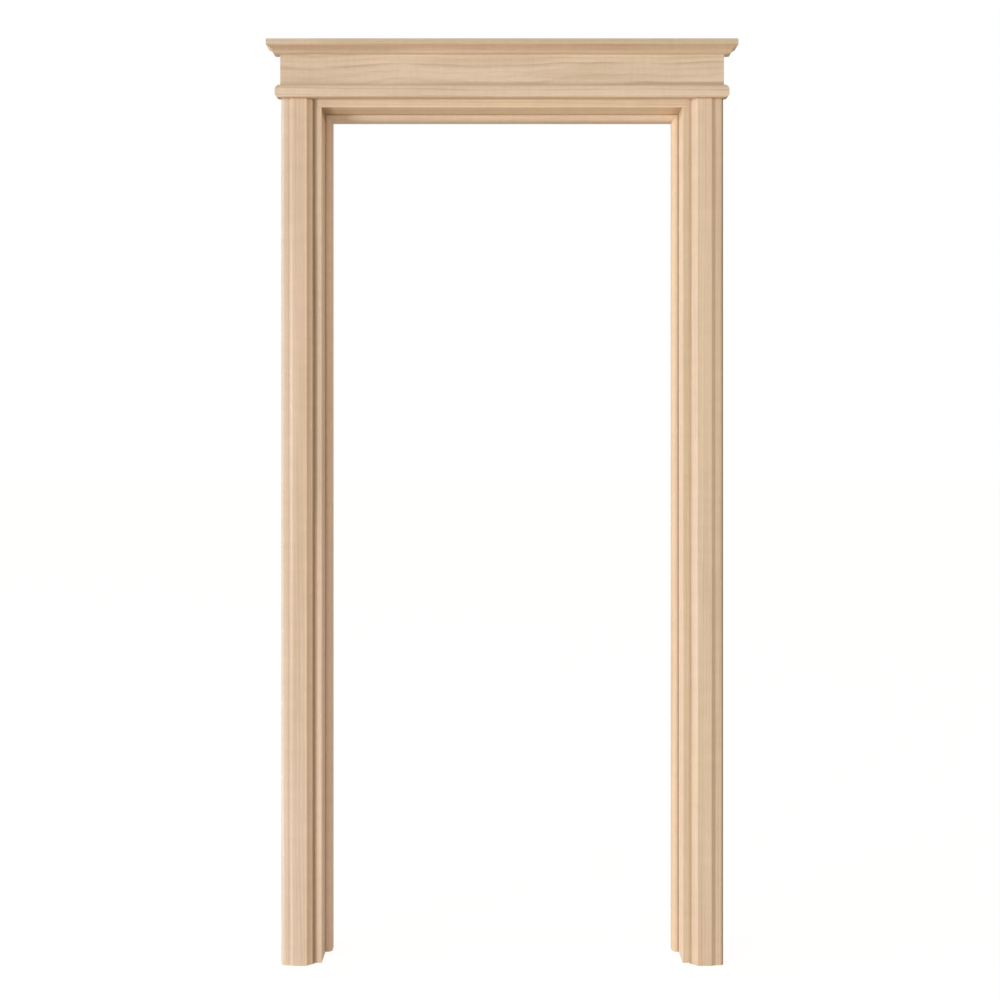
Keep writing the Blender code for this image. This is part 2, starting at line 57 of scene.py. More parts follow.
# Light: an even, slightly warm surround and three broad, slightly cool lamps: a key from the left,
# one far round to the left that brightens only what faces it, and a low fill in front. Each has its
# watts, its width and height, the degrees by which it stands round to the left, and how high it is.
SURROUND = 0.42
SURROUND_COLOUR = (1.0, 0.93, 0.84)
LAMP_COLOUR = (0.91, 0.96, 1.0)
LAMP_DISTANCE = 18.0
LAMPS = {
    "key": (1565.0, (5.5, 2.3), 46, 1.2),
    "side": (1300.0, (4.0, 2.3), 78, 1.2),
    "fill": (410.0, (6.0, 1.5), -8, 0.8),
}

# Floor, with what it gives to the object and what the camera sees
WHITE = (1.0, 1.0, 1.0)
FLOOR_RADIUS = 60.0
FLOOR_SIDES = 48
FLOOR_DROP = 0.0004
FLOOR_BOUNCE = 0.88
FLOOR_LIFT = 0.16
FLOOR_SHADE = 0.20
FLOOR_GLOW = 0.92

# Wood colours, linear
PALE = (0.750, 0.562, 0.404)
DEEP = (0.645, 0.462, 0.311)
PINK = (0.738, 0.532, 0.398)
YELLOW = (0.700, 0.535, 0.345)
ASH_PALE = (0.735, 0.566, 0.412)
ASH_DEEP = (0.628, 0.468, 0.320)
BEECH_PALE = (0.66, 0.44, 0.28)
BEECH_DEEP = (0.50, 0.30, 0.17)

# Where the boards lie in the noises, a step apart, so that no two are alike
SEED_START = (0.0, 0.4, 0.9)
SEED_STEP = (1.37, 2.11, 3.73)

# Wood figure: waves per metre across the face, through the board and along the grain
WANDER_WAVES = (6.0, 6.0, 1.3)
FLUTTER_WAVES = (60.0, 60.0, 9.0)
FADE_WAVES = (16.0, 16.0, 2.4)
BAND_WAVES = (44.0, 44.0, 1.1)
STREAK_WAVES = (230.0, 230.0, 3.2)
FIBRE_WAVES = (1150.0, 1150.0, 24.0)
FLECK_WAVES = (2300.0, 2300.0, 210.0)
RIPPLE_WAVES = (16.0, 16.0, 46.0)
CLOUD_WAVES = (7.0, 7.0, 1.5)
STREAK_OCTAVES = 3.0
STREAK_GRIT = 0.6

# Wood figure: each range has a low and a high value, then what they become where that isn't 0 and 1.
# The last two are of a face's direction: along the grain, where it shows end grain, and to the back,
# where no patch shows.
LATE_RISE = (0.35, 0.93)
LATE_FALL = (0.94, 1.0, 1.0, 0.0)
FADE_RANGE = (0.34, 0.62, 0.35, 1.0)
BODY_RANGE = (0.34, 0.66, 0.1, 0.9)
TINT_RANGE = (0.36, 0.66, 0.0, 0.65)
PORE_RANGE = (0.66, 0.78, 0.0, 0.30)
END_RANGE = (0.75, 0.92)
FRONT_RANGE = (0.3, 0.6, 1.0, 0.0)

# Wood figure: what each part of it does to the rings, the colour, the roughness and the skin
FLUTTER_SIZE = (0.0016, 0.0016, 0.0)
RING_CONTRAST = 1.8
FAINTEST_RING = 0.18
BAND_SHARE = 0.6
LINE_COLOUR = (0.72, 0.62, 0.52)
PORE_COLOUR = (0.55, 0.42, 0.30)
END_COLOUR = (0.66, 0.56, 0.46)
END_SHARE = 0.75
FIBRE_TONE = 0.22
RIPPLE_TONE = 0.10
WOOD_ROUGHNESS = 0.58
STREAK_ROUGHNESS = 0.25
FIBRE_ROUGHNESS = 0.20
LINE_ROUGHNESS = 0.06
END_ROUGHNESS = 0.18
STREAK_HEIGHT = 0.55
FIBRE_HEIGHT = 0.40
LINE_HEIGHT = 0.30
PORE_HEIGHT = -0.9
WOOD_BUMP = {"Strength": 0.35, "Distance": 0.0004}
WOOD_IOR = 1.42
WOOD_SPECULAR = 0.35

# Steel: colours and roughness, waves per metre of the plating's clouds and of the scratches, and what
# each does to the shade and the roughness
ZINC = (0.52, 0.51, 0.49)
ZINC_ROUGHNESS = 0.54
BRIGHT = (0.46, 0.45, 0.43)
BRIGHT_ROUGHNESS = 0.44
PLATING_WAVES = (420.0, 420.0, 420.0)
SCRATCH_WAVES = (5200.0, 5200.0, 900.0)
PLATING_SHADE = 0.80
SCRATCH_SHADE = 0.60
PLATING_RANGE = (0.35, 0.65)
SCRATCH_RANGE = (0.55, 0.75, 0.0, 0.35)
PLATING_ROUGHNESS = 0.20
SCRATCH_ROUGHNESS = 0.14
STEEL_BUMP = {"Strength": 0.25, "Distance": 0.00005}

# Screws: lengths in metres, and shares of them
SCREW_RADIUS = 0.0021
SCREW_CORE = 0.00145
SCREW_HEAD_RADIUS = 0.0042
SCREW_HEAD_HEIGHT = 0.0028
SCREW_FACE_SHARE = 0.97
SCREW_EASED_DEPTH = 0.00012
SCREW_RIM_DEPTH = 0.00035
SCREW_NECK_SHARE = 1.05
SCREW_SHANK_SHARE = 0.9
SCREW_SHANK_START = 0.0008
THREAD_START = 0.002
SCREW_TIP = 0.006
SCREW_POINT_RADIUS = 0.00008
SCREW_POINT_SHARE = 0.05
THREAD_PITCH = 0.0017
THREAD_STEEPNESS = 1.6
THREAD_STEPS = 6
SCREW_SIDES = 24
SCREW_SHARP_ANGLE = 32
RECESS_ARMS = 4
RECESS_REACH = 0.0021
RECESS_FLOOR_REACH = 0.0011
RECESS_WIDTH = 0.00042
RECESS_FLOOR_SHARE = 0.7
RECESS_DEPTH = 0.0021
RECESS_MARGIN_SHARE = 0.2


# Node trees


def add(tree, kind, **values):
    """New node. Names of inputs and of properties are given as keywords, with _ for a space."""
    node = tree.nodes.new("ShaderNode" + kind)
    for name, value in values.items():
        if hasattr(node, name):
            setattr(node, name, value)
        else:
            socket(node.inputs, name).default_value = value
    return node


def socket(sockets, name):
    """Socket by number, or by a name in which _ stands for a space."""
    if isinstance(name, int):
        return sockets[name]
    return sockets[name.replace("_", " ")]


def join(tree, source, target, entry=0):
    """Link from a node's first output, or from a socket, to one input."""
    out = source if isinstance(source, bpy.types.NodeSocket) else source.outputs[0]
    tree.links.new(out, socket(target.inputs, entry))
    return target


def fill(tree, node, values):
    """Inputs of a node in turn, each from a socket or a plain value."""
    for index, value in enumerate(values):
        if isinstance(value, (int, float, tuple, Vector)):
            node.inputs[index].default_value = value
        else:
            join(tree, value, node, index)


def maths(tree, operation, *values, clamp=False):
    node = add(tree, "Math", operation=operation, use_clamp=clamp)
    fill(tree, node, values)
    return node.outputs[0]


def vector_maths(tree, operation, *values):
    node = add(tree, "VectorMath", operation=operation)
    fill(tree, node, values)
    return node.outputs["Value" if operation == "LENGTH" else "Vector"]


def scaled(tree, vector, factor):
    """Vector times the number that a socket gives."""
    node = add(tree, "VectorMath", operation="SCALE")
    join(tree, vector, node, 0)
    join(tree, factor, node, "Scale")
    return node.outputs["Vector"]


def swung(tree, value, swing, middle):
    """Middle value that a noise, itself round a half, moves up and down."""
    return maths(tree, "MULTIPLY_ADD", maths(tree, "SUBTRACT", value, 0.5), swing, middle)


def noise(tree, place, scale, detail=2.0, roughness=0.5):
    """Noise whose scale differs along each direction of the grain, in waves per metre."""
    stretched = vector_maths(tree, "MULTIPLY", place, scale)
    node = add(tree, "TexNoise", Scale=1.0, Detail=detail, Roughness=roughness)
    join(tree, stretched, node, "Vector")
    return node


def noise_shift(tree, place, scale, detail):
    """Noise as a vector that lies round zero."""
    colour = noise(tree, place, scale, detail).outputs["Color"]
    return vector_maths(tree, "SUBTRACT", colour, (0.5, 0.5, 0.5))


def spread_out(tree, value, low, high, start=0.0, end=1.0):
    """Value between low and high moved to start and end, with soft shoulders."""
    node = add(
        tree, "MapRange", interpolation_type="SMOOTHSTEP",
        From_Min=low, From_Max=high, To_Min=start, To_Max=end,
    )
    join(tree, value, node, "Value")
    return node.outputs["Result"]


def blend_colours(tree, share, first, second, mode="MIX"):
    node = tree.nodes.new("ShaderNodeMix")
    node.data_type = "RGBA"
    node.blend_type = mode
    for index, value in ((0, share), (6, first), (7, second)):
        if isinstance(value, tuple):
            node.inputs[index].default_value = (*value, 1.0)
        else:
            join(tree, value, node, index)
    return node.outputs[2]


def split(tree, vector):
    """Outputs X, Y and Z of a vector."""
    return join(tree, vector, add(tree, "SeparateXYZ")).outputs


def new_material(name):
    made = bpy.data.materials.new(name)
    made.use_nodes = True
    return made, made.node_tree, made.node_tree.nodes["Principled BSDF"]


def add_bump(tree, shader, height, values):
    bump = add(tree, "Bump", **values)
    join(tree, height, bump, "Height")
    join(tree, bump, shader, "Normal")


# Wood: one solid grain, so that rings run through from face to end


def growth_lines(tree, given, seeded):
    """Late wood of growth rings round a pith outside the board. They wander slowly along its length."""
    place = given["Place"]
    drift = scaled(tree, noise_shift(tree, seeded, WANDER_WAVES, 2.0), given["Wander"])
    unsteady = noise_shift(tree, seeded, FLUTTER_WAVES, 1.0)
    flutter = vector_maths(tree, "MULTIPLY", unsteady, FLUTTER_SIZE)
    lean = scaled(tree, given["Lean"], split(tree, place)["Z"])
    moved = vector_maths(tree, "SUBTRACT", place, given["Pith"])
    for shift in (drift, flutter, lean):
        moved = vector_maths(tree, "ADD", moved, shift)
    radius = vector_maths(tree, "LENGTH", vector_maths(tree, "MULTIPLY", moved, (1.0, 1.0, 0.0)))
    ring = maths(tree, "DIVIDE", radius, given["Spacing"])
    chance = tree.nodes.new("ShaderNodeTexWhiteNoise")
    chance.noise_dimensions = "1D"
    join(tree, maths(tree, "FLOOR", ring), chance, "W")
    odds = maths(tree, "POWER", chance.outputs["Value"], RING_CONTRAST)
    weight = maths(tree, "MULTIPLY_ADD", odds, 1 - FAINTEST_RING, FAINTEST_RING)
    phase = maths(tree, "FRACT", ring)
    rise = spread_out(tree, phase, *LATE_RISE)
    late = maths(tree, "MULTIPLY", rise, spread_out(tree, phase, *LATE_FALL))
    strength = spread_out(tree, noise(tree, seeded, FADE_WAVES).outputs["Fac"], *FADE_RANGE)
    return maths(tree, "MULTIPLY", maths(tree, "MULTIPLY", late, weight), strength)


def wood_colour(tree, given, seeded, line, streak, fibre, pore):
    """Pale and deep bands with a cloudy tint, then lines, pores, fibres, ripple and darker ends."""
    band = noise(tree, seeded, BAND_WAVES).outputs["Fac"]
    ripple = noise(tree, seeded, RIPPLE_WAVES, detail=1.0).outputs["Fac"]
    cloud = noise(tree, seeded, CLOUD_WAVES).outputs["Fac"]
    streaked = maths(tree, "MULTIPLY", streak, 1 - BAND_SHARE)
    mixed = maths(tree, "MULTIPLY_ADD", band, BAND_SHARE, streaked)
    body = blend_colours(tree, spread_out(tree, mixed, *BODY_RANGE), given["Pale"], given["Deep"])
    tinted = blend_colours(tree, spread_out(tree, cloud, *TINT_RANGE), body, given["Tint"])
    line_share = maths(tree, "MULTIPLY", line, given["Figure"], clamp=True)
    lined = blend_colours(tree, line_share, tinted, LINE_COLOUR, "MULTIPLY")
    flecked = blend_colours(tree, pore, lined, PORE_COLOUR, "MULTIPLY")
    fine = swung(tree, ripple, RIPPLE_TONE, swung(tree, fibre, FIBRE_TONE, 1.0))
    end_share = maths(tree, "MULTIPLY", given["End"], END_SHARE)
    return blend_colours(tree, end_share, scaled(tree, flecked, fine), END_COLOUR, "MULTIPLY")


def wood_roughness(tree, given, line, streak, fibre):
    rough = swung(tree, streak, STREAK_ROUGHNESS, WOOD_ROUGHNESS)
    rough = swung(tree, fibre, FIBRE_ROUGHNESS, rough)
    rough = maths(tree, "MULTIPLY_ADD", line, LINE_ROUGHNESS, rough)
    return maths(tree, "MULTIPLY_ADD", given["End"], END_ROUGHNESS, rough, clamp=True)


def wood_height(tree, line, streak, fibre, pore):
    height = maths(tree, "MULTIPLY", fibre, FIBRE_HEIGHT)
    height = maths(tree, "MULTIPLY_ADD", streak, STREAK_HEIGHT, height)
    height = maths(tree, "MULTIPLY_ADD", line, LINE_HEIGHT, height)
    return maths(tree, "MULTIPLY_ADD", pore, PORE_HEIGHT, height)


def wood_group():
    """Grain worked out from a place in a board, with the third coordinate along the fibres."""
    tree = bpy.data.node_groups.new("solid_wood", "ShaderNodeTree")
    sockets = (
        ("INPUT", "Vector", ("Place", "Seed", "Pith", "Lean")),
        ("INPUT", "Float", ("Spacing", "Wander", "Figure", "End")),
        ("INPUT", "Color", ("Pale", "Deep", "Tint")),
        ("OUTPUT", "Color", ("Color",)),
        ("OUTPUT", "Float", ("Roughness", "Height")),
    )
    for side, kind, names in sockets:
        for name in names:
            tree.interface.new_socket(name, in_out=side, socket_type="NodeSocket" + kind)
    given = tree.nodes.new("NodeGroupInput").outputs
    result = tree.nodes.new("NodeGroupOutput")
    seeded = vector_maths(tree, "ADD", given["Place"], given["Seed"])
    line = growth_lines(tree, given, seeded)
    streak = noise(tree, seeded, STREAK_WAVES, STREAK_OCTAVES, STREAK_GRIT).outputs["Fac"]
    fibre = noise(tree, seeded, FIBRE_WAVES).outputs["Fac"]
    fleck = noise(tree, seeded, FLECK_WAVES, detail=1.0).outputs["Fac"]
    pore = spread_out(tree, fleck, *PORE_RANGE)
    join(tree, wood_colour(tree, given, seeded, line, streak, fibre, pore), result, "Color")
    join(tree, wood_roughness(tree, given, line, streak, fibre), result, "Roughness")
    join(tree, wood_height(tree, line, streak, fibre, pore), result, "Height")
    return tree


WOOD_GROUP = wood_group()

# Order in which a place's x, y and z become across the face, through the board and along the grain
GRAIN_ORDER = {"X": "ZYX", "Y": "ZXY", "Z": "XYZ"}


def painted_light_or_tone_patch(tree, colour, in_row, share, factor, *limits):
    """Colour multiplied by a factor inside limits: painted shade, a painted highlight or a change of
    tone. The share is where the patch may show at all.
    """
    for axis, middle, half, border in limits:
        away = maths(tree, "ABSOLUTE", maths(tree, "SUBTRACT", in_row[axis], middle))
        share = maths(tree, "MULTIPLY", spread_out(tree, away, half, half + border, 1.0, 0.0), share)
    return blend_colours(tree, share, colour, factor, "MULTIPLY")


def wood_material(name, seed, board_look):
    """Wood for one board. The look gives its grain's direction, its cut, its figure and its colours."""
    made, tree, shader = new_material(name + "_wood")
    coords = tree.nodes.new("ShaderNodeTexCoord").outputs
    low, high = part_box(name)
    local = split(tree, vector_maths(tree, "SUBTRACT", coords["Object"], (low + high) / 2))
    turned = add(tree, "CombineXYZ")
    for index, letter in enumerate(GRAIN_ORDER[board_look["grain"]]):
        join(tree, local[letter], turned, index)
    stretched = vector_maths(tree, "MULTIPLY", turned.outputs["Vector"], (1.0, 1.0, board_look["run"]))
    facing = split(tree, coords["Normal"])
    towards = maths(tree, "ABSOLUTE", facing[board_look["grain"]])

    group = add(tree, "Group", node_tree=WOOD_GROUP)
    join(tree, stretched, group, "Place")
    join(tree, spread_out(tree, towards, *END_RANGE), group, "End")
    seeds = [start + step * seed for start, step in zip(SEED_START, SEED_STEP)]
    group.inputs["Seed"].default_value = seeds
    for entry in ("Pith", "Lean"):
        group.inputs[entry].default_value = (*board_look[entry.lower()], 0.0)
    for entry in ("Spacing", "Wander", "Figure"):
        group.inputs[entry].default_value = board_look[entry.lower()]
    for entry in ("Pale", "Deep", "Tint"):
        group.inputs[entry].default_value = (*board_look[entry.lower()], 1.0)

    colour = group.outputs["Color"]
    in_row = split(tree, coords["Object"])
    off_back = spread_out(tree, facing["Y"], *FRONT_RANGE)
    # Painted shade, painted highlights and changes of tone, kept off faces that turn to the back
    for patch in PAINTED_LIGHT_AND_TONE_PATCHES.get(name, ()):
        colour = painted_light_or_tone_patch(tree, colour, in_row, off_back, *patch)
    join(tree, colour, shader, "Base Color")
    join(tree, group.outputs["Roughness"], shader, "Roughness")
    add_bump(tree, shader, group.outputs["Height"], WOOD_BUMP)
    shader.inputs["IOR"].default_value = WOOD_IOR
    shader.inputs["Specular IOR Level"].default_value = WOOD_SPECULAR
    made.diffuse_color = (*board_look["pale"], 1.0)
    return made


def shade(colour, factor):
    return tuple(channel * factor for channel in colour)


def look(
    grain, pith, lean=(0.0, 0.0), spacing=0.006, wander=0.010, figure=0.5, tone=1.0,
    tint=PINK, pale=PALE, deep=DEEP, run=1.0,
):
    """Values for one board's wood. Run above 1 shortens the figure along the grain."""
    return {
        "grain": grain,
        "run": run,
        "pith": pith,
        "lean": lean,
        "spacing": spacing,
        "wander": wander,
        "figure": figure,
        "pale": shade(pale, tone),
        "deep": shade(deep, tone),
        "tint": shade(tint, tone),
    }


# Places that the patches keep to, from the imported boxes. The left side mirrors the right one.
OPENING_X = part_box("jamb_right")[0].x
OPENING_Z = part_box("jamb_head")[0].z
JAMB_FRONT_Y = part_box("jamb_right")[0].y
STOP_NOSE_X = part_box("stop_right")[0].x
CASING_INNER_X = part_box("casing_right")[0].x
CASING_OUTER_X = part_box("casing_right")[1].x
CASING_TOP_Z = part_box("casing_right")[1].z
BEAD_FOOT_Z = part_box("bead_front")[0].z
BEAD_TOP_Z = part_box("bead_front")[1].z
CROWN_FOOT_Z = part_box("crown_front")[0].z

# Lines on the casing's face, from the opening outwards, and on the jamb's strip beside it
STRIP_CREASE_X = CASING_INNER_X - 0.0008
STRIP_SHADE_X = CASING_INNER_X - 0.0040
CREASE_X = CASING_INNER_X + 0.0004
COVE_X = CASING_INNER_X + 0.0110
ARRIS_X = CASING_INNER_X + 0.0167
STEP_FOOT_X = CASING_OUTER_X - 0.0301
STEP_GLINT_X = CASING_OUTER_X - 0.0253
STEP_X = CASING_OUTER_X - 0.0205
SHOULDER_X = CASING_OUTER_X - 0.0090
EDGE_X = CASING_OUTER_X - 0.0076

# Lines on the right casing, which the key lamp lights from the opening's side
SHADED_CREASE_X = CASING_INNER_X - 0.0004
SHADED_STEP_FOOT_X = CASING_OUTER_X - 0.0293
SHADED_STEP_X = CASING_OUTER_X - 0.0219

# Lines on the crosshead
BEAD_CURVE_Z = BEAD_FOOT_Z + 0.0014
FRIEZE_FOOT_Z = BEAD_TOP_Z + 0.0010
CROWN_NECK_Z = CROWN_FOOT_Z + 0.0067
CROWN_COVE_Z = CROWN_FOOT_Z + 0.0110
CROWN_LIP_Z = CROWN_FOOT_Z + 0.0240

# Limits of patches: an axis, a middle, a half width and a soft border
REVEAL_HALF = (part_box("stop_head")[0].y - JAMB_FRONT_Y) / 2
REVEAL_MARGIN = 0.0020
JAMB_FACE = ("Y", JAMB_FRONT_Y, 0.0015, 0.0012)
JAMB_ARRIS = ("Y", JAMB_FRONT_Y, 0.0040, 0.0030)
REVEAL_FRONT = ("Y", JAMB_FRONT_Y + 0.0120, 0.0090, 0.0100)
REVEAL_MIDDLE_Y = JAMB_FRONT_Y + REVEAL_HALF + REVEAL_MARGIN
IN_REVEAL = ("Y", REVEAL_MIDDLE_Y, REVEAL_HALF - REVEAL_MARGIN, REVEAL_MARGIN)
LEFT_REVEAL = ("X", -OPENING_X, 0.0030, 0.0020)
RIGHT_REVEAL = ("X", OPENING_X, 0.0030, 0.0020)
HEAD_REVEAL = ("Z", OPENING_Z, 0.0030, 0.0020)
UNDER_BEAD = ("Z", CASING_TOP_Z, 0.0020, 0.0030)
UPPER_LEG = ("Z", CASING_TOP_Z, 0.1000, 0.7000)
MIDDLE_LEG = ("Z", 1.42, 0.26, 0.14)
LOWER_LEG = ("Z", 0.60, 0.30, 0.35)

# Painted brown shade in the opening's upper corners, darker on the left
LEFT_CORNER_PAINTED_SHADE = (0.66, 0.60, 0.53)
RIGHT_CORNER_PAINTED_SHADE = (0.80, 0.76, 0.70)

# Patches of a board that are darker or paler: factors of red, green and blue, then the limits.
# Most are painted light and shade: painted shade in creases, quirks and inner corners, and painted
# highlights on arrises, steps and curves. The wide patches make a board darker or paler over part of its
# length.
PAINTED_LIGHT_AND_TONE_PATCHES = {
    # Painted shade in the inner crease, on the step and under the bead, painted highlights on the arris,
    # cove, step foot and shoulder, a darker upper leg and a paler foot
    "casing_left": (
        ((0.61, 0.54, 0.45), ("X", -CREASE_X, 0.0014, 0.0014)),
        ((1.30, 1.30, 1.30), ("X", -ARRIS_X, 0.0011, 0.0010)),
        ((1.09, 1.08, 1.01), ("X", -COVE_X, 0.0045, 0.0030)),
        ((0.88, 0.88, 0.88), ("X", -STEP_X, 0.0022, 0.0012)),
        ((0.87, 0.87, 0.88), ("X", -STEP_GLINT_X, 0.0011, 0.0010)),
        ((1.05, 1.05, 1.05), ("X", -STEP_FOOT_X, 0.0013, 0.0010)),
        ((1.03, 1.06, 1.13), ("X", -EDGE_X, 0.0014, 0.0012)),
        ((1.00, 1.04, 1.08), ("X", -SHOULDER_X, 0.0100, 0.0020)),
        ((0.90, 0.95, 1.00), ("X", -CASING_OUTER_X, 0.0025, 0.0015)),
        ((1.05, 1.05, 1.06), ("X", -SHOULDER_X, 0.0100, 0.0020), ("Z", 0.30, 0.30, 0.40)),
        ((0.72, 0.66, 0.58), UNDER_BEAD),
        ((0.96, 0.96, 0.95), UPPER_LEG),
        ((1.01, 1.03, 1.05), ("Z", 0.0, 0.2000, 0.8000)),
    ),
    # Painted shade in the crease, on the step, along the outer edge and under the bead, a darker cove
    # that is paler low down, and a slightly darker upper leg
    "casing_right": (
        ((0.84, 0.85, 0.88), ("X", SHADED_CREASE_X, 0.0014, 0.0014)),
        ((0.91, 0.92, 0.94), ("X", COVE_X, 0.0055, 0.0030)),
        ((1.05, 1.05, 1.07), ("X", COVE_X, 0.0055, 0.0030), ("Z", 0.20, 0.20, 0.50)),
        ((0.81, 0.79, 0.76), ("X", SHADED_STEP_X, 0.0014, 0.0016)),
        ((0.90, 0.89, 0.87), ("X", SHADED_STEP_FOOT_X, 0.0008, 0.0009)),
        ((0.52, 0.46, 0.39), ("X", CASING_OUTER_X, 0.0034, 0.0012)),
        ((0.75, 0.70, 0.63), UNDER_BEAD),
        ((0.98, 0.96, 0.97), UPPER_LEG),
    ),
    # Painted highlights on the front strip, its arris and the reveal's front edge, painted shade beside
    # the casing and in the upper corner, and the strip and reveal darker or paler along the leg
    "jamb_left": (
        ((1.06, 1.06, 1.09), JAMB_FACE),
        ((1.18, 1.18, 1.18), ("X", -OPENING_X, 0.0016, 0.0012), JAMB_ARRIS),
        ((0.72, 0.66, 0.59), ("X", -CASING_INNER_X, 0.0008, 0.0014), JAMB_FACE),
        ((1.12, 1.12, 1.12), REVEAL_FRONT, ("X", -OPENING_X, 0.0010, 0.0010)),
        ((0.97, 0.97, 0.98), MIDDLE_LEG, JAMB_FACE),
        ((0.86, 0.86, 0.85), MIDDLE_LEG, ("X", -STRIP_SHADE_X, 0.0034, 0.0016), JAMB_FACE),
        ((1.05, 1.05, 1.04), LOWER_LEG),
        ((1.05, 1.05, 1.06), LOWER_LEG, JAMB_FACE),
        ((1.06, 1.06, 1.05), ("Z", 1.95, 0.15, 0.25), IN_REVEAL),
        (LEFT_CORNER_PAINTED_SHADE, ("Z", OPENING_Z, 0.0060, 0.0200), IN_REVEAL, LEFT_REVEAL),
    ),
    # Painted shade on the front strip, in the crease beside the casing and in the upper corner, a cooler
    # reveal and a paler lower strip
    "jamb_right": (
        ((0.86, 0.87, 0.80), JAMB_FACE),
        ((0.86, 0.86, 0.86), ("X", STRIP_CREASE_X, 0.0010, 0.0012), JAMB_FACE),
        ((0.98, 0.99, 1.03), IN_REVEAL),
        ((1.06, 1.06, 1.09), ("Z", 0.40, 0.30, 0.45), JAMB_FACE),
        (RIGHT_CORNER_PAINTED_SHADE, ("Z", OPENING_Z, 0.0060, 0.0160), IN_REVEAL, RIGHT_REVEAL),
    ),
    # Painted highlights along the front edge and arris, painted shade in both upper corners
    "jamb_head": (
        ((1.11, 1.10, 1.03), ("Z", OPENING_Z, 0.0008, 0.0008)),
        ((1.16, 1.17, 1.18), ("Z", OPENING_Z, 0.0012, 0.0010), JAMB_ARRIS),
        (LEFT_CORNER_PAINTED_SHADE, ("X", -OPENING_X, 0.0080, 0.0260), IN_REVEAL, HEAD_REVEAL),
        (RIGHT_CORNER_PAINTED_SHADE, ("X", OPENING_X, 0.0080, 0.0200), IN_REVEAL, HEAD_REVEAL),
    ),
    # Painted light on the stop's nose and along the middle of the leg
    "stop_left": (
        ((1.09, 1.05, 1.04), ("X", -STOP_NOSE_X, 0.0050, 0.0040)),
        ((1.06, 1.05, 1.03), ("Z", 1.42, 0.30, 0.20)),
    ),
    # Painted shade in the crease where the stop meets the jamb
    "stop_right": (
        ((0.82, 0.80, 0.76), ("X", OPENING_X, 0.0020, 0.0015)),
    ),
    # Painted shade along the foot above the bead, lighter at the left, and a darker left end
    "frieze_board": (
        ((0.85, 0.84, 0.82), ("Z", FRIEZE_FOOT_Z, 0.0030, 0.0060)),
        ((1.10, 1.10, 1.09), ("Z", FRIEZE_FOOT_Z, 0.0030, 0.0060), ("X", -0.42, 0.13, 0.10)),
        ((0.94, 0.94, 0.93), ("X", -CASING_OUTER_X, 0.1000, 0.1500)),
    ),
    # Painted light on the sole, painted shade on the neck at the left, a warmer painted shade on the
    # cove, and a paler, cooler lip towards the left end
    "crown_front": (
        ((1.40, 1.46, 1.54), ("Z", CROWN_FOOT_Z, 0.0002, 0.0003)),
        ((0.89, 0.89, 0.88), ("Z", CROWN_NECK_Z, 0.0058, 0.0012), ("X", -0.42, 0.12, 0.10)),
        ((1.02, 0.96, 0.90), ("Z", CROWN_COVE_Z, 0.0050, 0.0040)),
        ((1.10, 1.13, 1.22), ("X", -CASING_OUTER_X, 0.0400, 0.1200), ("Z", CROWN_LIP_Z, 0.0070, 0.0040)),
    ),
    # Painted shade at the top and foot, painted light on the lower curve
    "bead_front": (
        ((0.93, 0.92, 0.90), ("Z", BEAD_TOP_Z, 0.0020, 0.0040)),
        ((1.15, 1.14, 1.13), ("Z", BEAD_CURVE_Z, 0.0012, 0.0014)),
        ((0.94, 0.92, 0.89), ("Z", BEAD_FOOT_Z, 0.0002, 0.0003)),
    ),
    # Painted shade at the foot, darker on the left return
    "bead_return_left": (
        ((0.55, 0.48, 0.40), ("Z", BEAD_FOOT_Z, 0.0010, 0.0020)),
    ),
    "bead_return_right": (
        ((0.70, 0.64, 0.56), ("Z", BEAD_FOOT_Z, 0.0010, 0.0020)),
    ),
}

# Each board's look: the grain's direction, the pith's place beside the board's middle, how the grain
# leans, and what else is its own
BOARDS = {
    "jamb_left": look(
        "Z", (0.16, 0.05), (0.004, 0.002), spacing=0.0055, wander=0.008, tone=0.98, tint=YELLOW,
    ),
    "jamb_right": look("Z", (-0.14, 0.09), (-0.003, 0.003), wander=0.008, tone=1.04, tint=PALE),
    "jamb_head": look(
        "X", (0.12, 0.06), (0.006, 0.0), spacing=0.0055, wander=0.009, tone=0.98, tint=YELLOW,
    ),
    "stop_left": look("Z", (0.07, 0.12), (0.002, 0.0), spacing=0.0050, wander=0.006, tone=0.99),
    "stop_right": look(
        "Z", (-0.08, 0.10), (0.003, 0.0), spacing=0.0050, wander=0.006, tone=0.99, tint=YELLOW,
    ),
    "stop_head": look(
        "X", (0.06, 0.12), (0.004, 0.0), spacing=0.0050, wander=0.007, tone=0.97, tint=ASH_PALE,
    ),
    "casing_left": look("Z", (0.13, 0.10), (0.006, 0.0), spacing=0.0065, figure=0.55, tone=0.96),
    "casing_right": look("Z", (-0.15, 0.08), (-0.005, 0.0), spacing=0.0065, figure=0.55, tint=YELLOW),
    "frieze_board": look(
        "X", (-0.055, 0.085), (0.004, 0.006), spacing=0.0085, wander=0.020, figure=0.85, tone=0.96,
        tint=ASH_PALE, pale=ASH_PALE, deep=ASH_DEEP, run=2.6,
    ),
    "crown_front": look(
        "X", (0.10, 0.08), (0.003, 0.0), wander=0.012, figure=0.80, tone=0.83, tint=YELLOW, run=1.8,
    ),
    "crown_return_left": look("Y", (0.10, 0.08), (0.006, 0.0), tone=0.87),
    "crown_return_right": look("Y", (0.09, -0.07), (0.006, 0.0), tone=0.86, tint=YELLOW),
    "bead_front": look(
        "X", (-0.09, 0.07), (0.003, 0.0), wander=0.012, figure=0.7, tone=0.99,
        tint=ASH_PALE, pale=ASH_PALE, deep=ASH_DEEP, run=1.8,
    ),
    "bead_return_left": look("Y", (0.09, 0.07), (0.006, 0.0)),
    "bead_return_right": look("Y", (0.08, -0.07), (0.006, 0.0), tone=0.98, tint=YELLOW),
}
